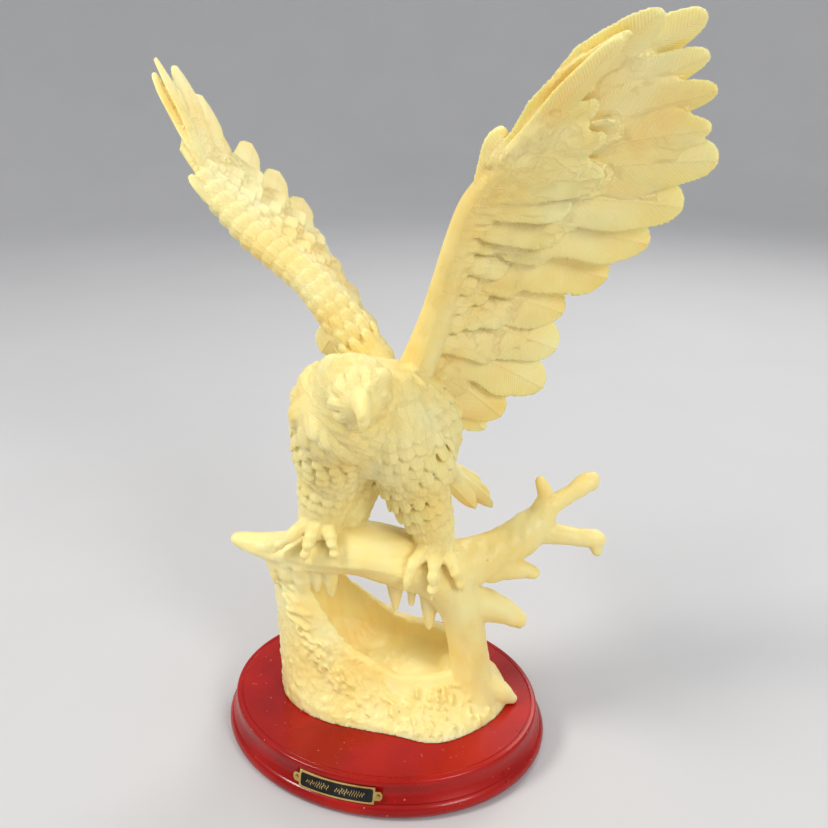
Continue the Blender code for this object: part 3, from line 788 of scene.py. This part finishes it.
def buildEagle(resin):
    casting = Casting()
    buildRocks(casting)
    buildTree(casting)
    buildBird(casting)
    buildWings(casting)
    print("casting:", casting.count, "lofted points,", len(casting.spots), "small feathers and stones")
    fused = linked("fused", casting.mesh("loose"))
    spots = spotCloud(casting)
    addNodes(fused, detailTree(), {"Spots": spots, "Material": resin, **details})
    modify(fused, "REMESH", mode="VOXEL", voxel_size=finish["voxel"])
    modify(fused, "SMOOTH", factor=0.5, iterations=1)
    whole = takeMesh(fused)
    bpy.data.objects.remove(spots)
    print("fused:", len(whole.vertices), "points")
    roughen(whole)
    rough = linked("rough", whole)
    modify(rough, "DECIMATE", ratio=finish["triangles"] / (2 * len(whole.polygons)))
    mesh = takeMesh(rough)
    keepLargest(mesh)
    points = meshPoints(mesh)
    setAttribute(mesh, "barb", "FLOAT_VECTOR", barbCoordinates(casting, points))
    rock, bark, wall = groundWeights(points)
    setAttribute(mesh, "ground", "FLOAT", np.clip(rock + 0.5 * bark + 0.4 * wall, 0, 1))
    points[:, 2] = np.maximum(points[:, 2] - finish["trim"], 0)
    place = Matrix.Translation((0, 0, figureBox[0][2])) @ Matrix.Rotation(finish["turn"], 4, "Z")
    place = place @ Matrix.Scale(mm, 4)
    setPoints(mesh, points @ np.array(place.to_3x3()).T + np.array(place.translation))
    mesh.shade_smooth()
    addPiece("castEagle", mesh, resin, "resin_eagle")


# Materials

def newMaterial(name, settings):
    made = bpy.data.materials.new(name)
    made.use_nodes = True
    graph = Graph(made.node_tree)
    return made, graph, graph.feed(made.node_tree.nodes["Principled BSDF"], settings)


mottleInputs = ("Blotch Scale", "Grain Scale", "Grain Depth")


def mottleGroup():
    # soft blotches, and a fine grain with its bump, used by every finish
    graph, enter = newGroup("mottle", "ShaderNodeTree", dict.fromkeys(mottleInputs, "Float"),
                            {"Blotch": "Float", "Grain": "Float", "Normal": "Vector"})
    leave = graph.add("NodeGroupOutput")
    place = graph.add("ShaderNodeTexCoord").outputs["Object"]
    for name, detail in (("Blotch", 4), ("Grain", 3)):
        cloud = graph.add("ShaderNodeTexNoise", {"Detail": detail, "Vector": place,
                                                 "Scale": enter[name + " Scale"]})
        graph.feed(leave, {name: cloud})
    bump = graph.add("ShaderNodeBump", {"Distance": 0.0004, "Height": cloud,
                                        "Strength": enter["Grain Depth"]})
    graph.feed(leave, {"Normal": bump})
    return graph.tree


def useMottle(graph, group, scales):
    node = graph.add("ShaderNodeGroup", node_tree=group)
    return graph.feed(node, dict(zip(mottleInputs, scales))).outputs


def ramp(graph, value, stops):
    node = graph.add("ShaderNodeValToRGB", {"Fac": value})
    while len(node.color_ramp.elements) < len(stops):
        node.color_ramp.elements.new(0.5)
    for element, (position, color) in zip(node.color_ramp.elements, stops):
        element.position = position
        element.color = (*color, 1)
    return node


def mapRange(graph, value, fromMin, fromMax, toMin=0.0, toMax=1.0):
    values = {"Value": value, "From Min": fromMin, "From Max": fromMax, "To Min": toMin, "To Max": toMax}
    return graph.add("ShaderNodeMapRange", values, interpolation_type="SMOOTHSTEP")


# "mottle", "pits" and "dust" give the mottle group's three inputs in their order

frostedResin = {
    "dark": (0.90, 0.66, 0.19),
    "mid": (0.96, 0.79, 0.33),
    "light": (0.99, 0.89, 0.48),
    "mottle": (28, 1100, 0.25),
    "pits": (420, 1100, 0.0),
    "barbSpacing": 1.5,  # millimetres between barbs
    "barbSlant": 0.75,
    "shaftWidth": 0.6,
    "shaftDepth": 1.2,
    "barbDepth": 0.28,
    "rockPits": 3.0,
    "relief": {"Distance": 0.0003, "Strength": 0.6},
    "roughness": (0.45, 0.25),  # of feathers and of rock
    "settings": {
        "IOR": 1.49, "Subsurface Weight": 0.55, "Subsurface Scale": 0.004,
        "Subsurface Radius": (1.0, 0.8, 0.4), "Specular IOR Level": 0.35,
    },
}


def makeResin(group):
    look = frostedResin
    made, graph, shader = newMaterial("frostedResin", look["settings"])
    calc, times, plus = graph.calc, graph.times, graph.plus
    mottle = useMottle(graph, group, look["mottle"])
    stops = [(0.25, look["dark"]), (0.5, look["mid"]), (0.8, look["light"])]
    barb = graph.add("ShaderNodeAttribute", attribute_name="barb").outputs["Vector"]
    along, side, feathered = graph.split(barb)
    across = calc("ABSOLUTE", side)
    phase = calc("SUBTRACT", along, times(across, look["barbSlant"]))
    wave = calc("SINE", times(phase, 2 * math.pi / look["barbSpacing"]))
    width = look["shaftWidth"]
    shaft = mapRange(graph, across, width * 0.5, width * 1.8, look["shaftDepth"], 0.0)
    relief = plus(times(wave, look["barbDepth"]), shaft)
    ground = graph.add("ShaderNodeAttribute", attribute_name="ground").outputs["Fac"]
    pits = useMottle(graph, group, look["pits"])
    rocky = times(times(pits["Blotch"], ground), look["rockPits"])
    height = plus(times(relief, feathered), rocky)
    bump = graph.add("ShaderNodeBump", {**look["relief"], "Height": height, "Normal": mottle["Normal"]})
    graph.feed(shader, {"Base Color": ramp(graph, mottle["Blotch"], stops), "Normal": bump,
                        "Roughness": mapRange(graph, ground, 0, 1, *look["roughness"])})
    return made


cherryLacquer = {
    "dark": (0.22, 0.002, 0.002),
    "light": (0.44, 0.008, 0.004),
    "speck": (0.72, 0.34, 0.27, 1),
    "mottle": (22, 300, 0.03),
    "dust": (480, 300, 0.0),
    "dustFrom": (0.70, 0.76),
    "roughness": (0.16, 0.34),
    "settings": {"Coat Weight": 0.2, "Coat Roughness": 0.08, "Specular IOR Level": 0.2},
}


def makeLacquer(group):
    look = cherryLacquer
    made, graph, shader = newMaterial("cherryLacquer", look["settings"])
    mottle = useMottle(graph, group, look["mottle"])
    wood = ramp(graph, mottle["Blotch"], [(0.25, look["dark"]), (0.7, look["light"])])
    dust = useMottle(graph, group, look["dust"])
    dusty = mapRange(graph, dust["Blotch"], *look["dustFrom"])
    mix = graph.add("ShaderNodeMix", {0: dusty, 6: wood, 7: look["speck"]}, data_type="RGBA")
    graph.feed(shader, {"Base Color": mix.outputs[2], "Normal": mottle["Normal"],
                        "Roughness": mapRange(graph, mottle["Blotch"], 0.3, 0.7, *look["roughness"])})
    return made


polishedBrass = {
    "dark": (0.50, 0.32, 0.09),
    "light": (0.86, 0.64, 0.25),
    "mottle": (60, 900, 0.08),
    "settings": {"Metallic": 1.0, "Roughness": 0.25},
}
blackEnamel = {
    "dark": (0.006, 0.006, 0.007),
    "light": (0.022, 0.021, 0.022),
    "mottle": (120, 900, 0.05),
    "settings": {"Roughness": 0.35, "Specular IOR Level": 0.15},
}


def makePlain(name, look, group):
    made, graph, shader = newMaterial(name, look["settings"])
    mottle = useMottle(graph, group, look["mottle"])
    stops = [(0.3, look["dark"]), (0.7, look["light"])]
    graph.feed(shader, {"Base Color": ramp(graph, mottle["Blotch"], stops), "Normal": mottle["Normal"]})
    return made


# Plinth: one moulding profile carried round an oval

plinth = {
    "halfLength": plinthBox[1][0],
    "halfWidth": plinthBox[1][1],
    "height": plinthBox[1][2],
    "topInset": 6.2 * mm,
    "rollHeight": 9.6 * mm,
    "coveFoot": 2.4 * mm,
    "coveHead": 5.2 * mm,
    "coveDepth": 1.2 * mm,
    "beadHeight": 3.0 * mm,
    "grooveInset": 8.2 * mm,
    "grooveWidth": 1.0 * mm,
    "grooveDepth": 0.45 * mm,
    "rollSteps": 17,
    "coveSteps": 10,
    "beadSteps": 9,
    "grooveSteps": 7,
    "sides": 240,
}


def plinthProfile():
    p = plinth
    rows = []
    half = p["rollHeight"] / 2
    for turn in np.linspace(-math.pi / 2, math.pi / 2, p["rollSteps"]):
        rows.append((half - half * math.cos(turn), half + half * math.sin(turn)))
    head = p["height"] - p["beadHeight"]
    for t in np.linspace(0, 1, p["coveSteps"]):
        line = p["coveFoot"] + (p["coveHead"] - p["coveFoot"]) * t
        height = p["rollHeight"] + (head - p["rollHeight"]) * t
        rows.append((line + p["coveDepth"] * math.sin(math.pi * t), height))
    out = p["coveHead"] - p["beadHeight"] * 0.2
    for turn in np.linspace(0, math.pi / 2, p["beadSteps"]):
        inset = out + (p["topInset"] - out) * (1 - math.cos(turn))
        rows.append((inset, head + p["beadHeight"] * math.sin(turn)))
    for turn in np.linspace(0, math.pi, p["grooveSteps"]):  # a fine groove inside the top edge
        along = p["grooveInset"] - p["grooveWidth"] / 2 * math.cos(turn)
        rows.append((along, p["height"] - p["grooveDepth"] * math.sin(turn)))
    return rows


def ovalTree():
    # each grid row takes its inset and height from one point of the profile, each column its turn
    graph, enter = newTree("ovalMoulding", {"Half Length": "Float", "Half Width": "Float",
                                            "Rows": "Int", "Sides": "Int"})
    add, calc, times, plus = graph.add, graph.calc, graph.times, graph.plus
    grid = add("GeometryNodeMeshGrid", {"Size X": 1, "Size Y": 1, "Vertices X": enter["Rows"],
                                        "Vertices Y": plus(enter["Sides"], 1.0)})
    place = graph.position()
    spot = graph.split(place)
    row = times(plus(spot["X"], 0.5), calc("SUBTRACT", enter["Rows"], 1.0))
    pick = add("GeometryNodeSampleIndex", {"Geometry": enter["Geometry"], "Value": place,
                                           "Index": calc("ROUND", row)}, data_type="FLOAT_VECTOR")
    profile = graph.split(pick)
    turn = times(plus(spot["Y"], 0.5), 2 * math.pi)
    x, y = (times(calc("SUBTRACT", enter[half], profile["X"]), calc(spread, turn))
            for half, spread in (("Half Length", "COSINE"), ("Half Width", "SINE")))
    place = graph.combine(x, y, profile["Z"])
    bend = add("GeometryNodeSetPosition", {"Geometry": grid, "Position": place})
    return graph.close(enter, bend)


def buildPlinth(lacquer):
    rows = plinthProfile()
    strip = bpy.data.meshes.new("profile")
    strip.from_pydata([(inset, 0, height) for inset, height in rows], [], [])
    guide = linked("profile", strip)
    addNodes(guide, ovalTree(), {"Half Length": plinth["halfLength"], "Half Width": plinth["halfWidth"],
                                 "Rows": len(rows), "Sides": plinth["sides"], "Material": lacquer})
    mesh = takeMesh(guide)
    closeUp(mesh)
    mesh.shade_smooth()
    mesh.set_sharp_from_angle(angle=math.radians(35))
    addPiece("turnedPlinth", mesh, lacquer, "wood_plinth")


# Nameplate: the brass strip and pins are the frame's own, with an enamel field and strokes

plate = {
    "length": 43 * mm,
    "height": 8.8 * mm,
    "thickness": 0.9 * mm,
    "gap": 0.3 * mm,  # behind the strip
    "border": 0.9 * mm,
    "corner": 1.2 * mm,
    "fieldLift": 0.06 * mm,
    "strokeLift": 0.12 * mm,
    "words": [(-16.5, -3.0), (0.5, 16.5)],  # the two runs of strokes, millimetres along
    "strokeStep": 1.35,
    "strokes": {"Stroke Length": 3.2 * mm, "Stroke Width": 0.34 * mm, "Stroke Depth": 0.2 * mm,
                "Lean": 0.28, "Seed": 4},
    "strokeScales": ((0.8, 1, 0.45), (1.5, 1, 1.25)),  # least and most
}


def platePoint(along, up, out):
    head = plinth["height"] - plinth["beadHeight"]
    middle = (plinth["rollHeight"] + head) / 2
    slope = (plinth["coveHead"] - plinth["coveFoot"]) / (head - plinth["rollHeight"])
    inset = plinth["coveFoot"] + slope * (middle + up - plinth["rollHeight"]) - plate["gap"] - out
    turn = -math.pi / 2 + along / (plinth["halfLength"] - inset)
    x = (plinth["halfLength"] - inset) * math.cos(turn)
    y = (plinth["halfWidth"] - inset) * math.sin(turn)
    return (x, y, middle + up)


def buildField(enamel):
    # a thin rounded slab of enamel inside the brass border
    halfLong = plate["length"] / 2 - plate["border"]
    halfTall = plate["height"] / 2 - plate["border"]
    corner = plate["corner"]
    middle = np.linspace(-halfLong + corner, halfLong - corner, 21)
    columns = [-halfLong, -halfLong + corner * 0.3, *middle, halfLong - corner * 0.3, halfLong]
    shape = Casting()
    rings = []
    for x in columns:
        end = max(0, abs(x) - (halfLong - corner)) / corner
        tall = halfTall - corner * (1 - math.sqrt(max(0, 1 - end ** 2)))
        front = plate["thickness"] + plate["fieldLift"]
        ring = [platePoint(x, -tall, plate["thickness"] * 0.8)]
        ring += [platePoint(x, up, front) for up in np.linspace(-tall, tall, 7)]
        ring.append(platePoint(x, tall, plate["thickness"] * 0.8))
        rings.append(ring)
    shape.loft(rings)
    mesh = shape.mesh("enamelField")
    closeUp(mesh)
    addPiece("enamelField", mesh, enamel)


def strokeTree():
    # slim leaning strokes of uneven height on each point of the input
    graph, enter = newTree("plateStrokes", {"Stroke Length": "Float", "Stroke Width": "Float",
                                            "Stroke Depth": "Float", "Lean": "Float", "Seed": "Int"})
    add, calc, times = graph.add, graph.calc, graph.times
    length, width = enter["Stroke Length"], enter["Stroke Width"]
    size = graph.combine(width, enter["Stroke Depth"], length)
    bar = add("GeometryNodeMeshCube", {"Size": size, "Vertices Z": 5})
    wave = times(graph.split(graph.position())["Z"], 2 * math.pi)
    sway = graph.combine(times(calc("SINE", calc("DIVIDE", wave, length)), width))
    bent = add("GeometryNodeSetPosition", {"Geometry": bar, "Offset": sway})
    turn = add("FunctionNodeEulerToRotation", {0: graph.combine(y=enter["Lean"])})
    least, most = plate["strokeScales"]
    tall = add("FunctionNodeRandomValue", {0: least, 1: most, "Seed": enter["Seed"]},
               data_type="FLOAT_VECTOR")
    put = add("GeometryNodeInstanceOnPoints", {"Points": enter["Geometry"], "Instance": bent,
                                               "Rotation": turn, "Scale": tall})
    return graph.close(enter, put)


def buildStrokes(brass):
    row = bpy.data.meshes.new("row")
    places = []
    for start, end in plate["words"]:
        places += [(x * mm, 0, 0) for x in np.arange(start, end, plate["strokeStep"])]
    row.from_pydata(places, [], [])
    guide = linked("row", row)
    addNodes(guide, strokeTree(), {**plate["strokes"], "Material": brass})
    mesh = takeMesh(guide)
    out = plate["thickness"] + plate["strokeLift"] - plate["strokes"]["Stroke Depth"] / 2
    flat = meshPoints(mesh)
    setPoints(mesh, np.array([platePoint(x, z, out - y) for x, y, z in flat]))
    closeUp(mesh)
    addPiece("plateStrokes", mesh, brass)


# Studio

studio = {
    "floorRadius": 3.2,
    # flat rings, then the sweep up and the top, as shares of the radius
    "floorRings": [0.3, 0.58, 0.6],
    "floorSweep": 0.4,
    "floorHeight": 0.7,
    "floorSides": 64,
    "floorColor": (0.58, 0.58, 0.59),
    "worldColor": (0.95, 0.97, 1.0),
    "worldStrength": 0.62,
    # place, size, power, colour
    "lights": [((-1.0, -0.7, 1.4), 0.5, 17, (1.0, 0.96, 0.90)),
               ((1.2, -0.9, 1.0), 0.6, 11, (1.0, 0.98, 0.96)),
               ((0.3, 1.2, 1.1), 0.8, 8, (1.0, 0.98, 0.94))],
    "aim": (0, 0, 0.2),
    "cameraPlace": (0.1507, -0.4074, 0.367),
    "cameraDown": 21.45,
    "cameraTurn": 18,
    "focal": 38.6,
}


def buildStudio(group):
    look = {"dark": studio["floorColor"], "light": tuple(c * 1.03 for c in studio["floorColor"]),
            "mottle": (6, 500, 0.05), "settings": {"Roughness": 0.75}}
    paper = makePlain("floorPaper", look, group)
    radius = studio["floorRadius"]
    flat, sweep = studio["floorRings"][-1], studio["floorSweep"]
    rows = [(0.001, 0)] + [(share * radius, 0) for share in studio["floorRings"]]
    for turn in np.linspace(0, math.pi / 2, 13)[1:]:  # the floor's edge sweeps up all round
        rows.append((radius * (flat + sweep * math.sin(turn)), radius * sweep * (1 - math.cos(turn))))
    rows.append((radius, radius * studio["floorHeight"]))
    turns = roundTurns(studio["floorSides"])
    floor = Casting()
    floor.loft([[(reach * math.cos(turn), reach * math.sin(turn), height) for turn in turns]
                for reach, height in rows], ends=False)
    floor.faces.append(tuple(range(len(turns))))
    mesh = floor.mesh("studioFloor")
    mesh.shade_smooth()
    mesh.materials.append(paper)
    linked("studioFloor", mesh)

    world = bpy.data.worlds.new("softRoom")
    world.use_nodes = True
    sky = {"Color": (*studio["worldColor"], 1), "Strength": studio["worldStrength"]}
    Graph(world.node_tree).feed(world.node_tree.nodes["Background"], sky)
    bpy.context.scene.world = world
    for k, (place, size, power, color) in enumerate(studio["lights"]):
        lamp = bpy.data.lights.new("softbox%d" % k, "AREA")
        lamp.shape = "DISK"
        lamp.size = size
        lamp.energy = power
        lamp.color = color
        thing = linked(lamp.name, lamp)
        thing.location = place
        thing.rotation_euler = (Vector(studio["aim"]) - Vector(place)).to_track_quat("-Z", "Y").to_euler()

    lens = bpy.data.cameras.new("camera")
    lens.lens = studio["focal"]
    lens.sensor_width = 36
    lens.clip_start = 0.01
    camera = linked("camera", lens)
    camera.location = studio["cameraPlace"]
    tilt = math.radians(90 - studio["cameraDown"])
    camera.rotation_euler = (tilt, 0, math.radians(studio["cameraTurn"]))
    bpy.context.scene.camera = camera
    bpy.context.scene.view_settings.view_transform = "Standard"
    print("studio: floor,", len(studio["lights"]), "lights, camera")


def main():
    mottle = mottleGroup()
    buildStudio(mottle)
    buildPlinth(makeLacquer(mottle))
    brass = makePlain("polishedBrass", polishedBrass, mottle)
    for name in ("nameplate", "nameplate_pin_left", "nameplate_pin_right"):
        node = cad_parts[name]
        node.data.materials.clear()
        node.data.materials.append(brass)
    buildField(makePlain("blackEnamel", blackEnamel, mottle))
    buildStrokes(brass)
    buildEagle(makeResin(mottle))


main()
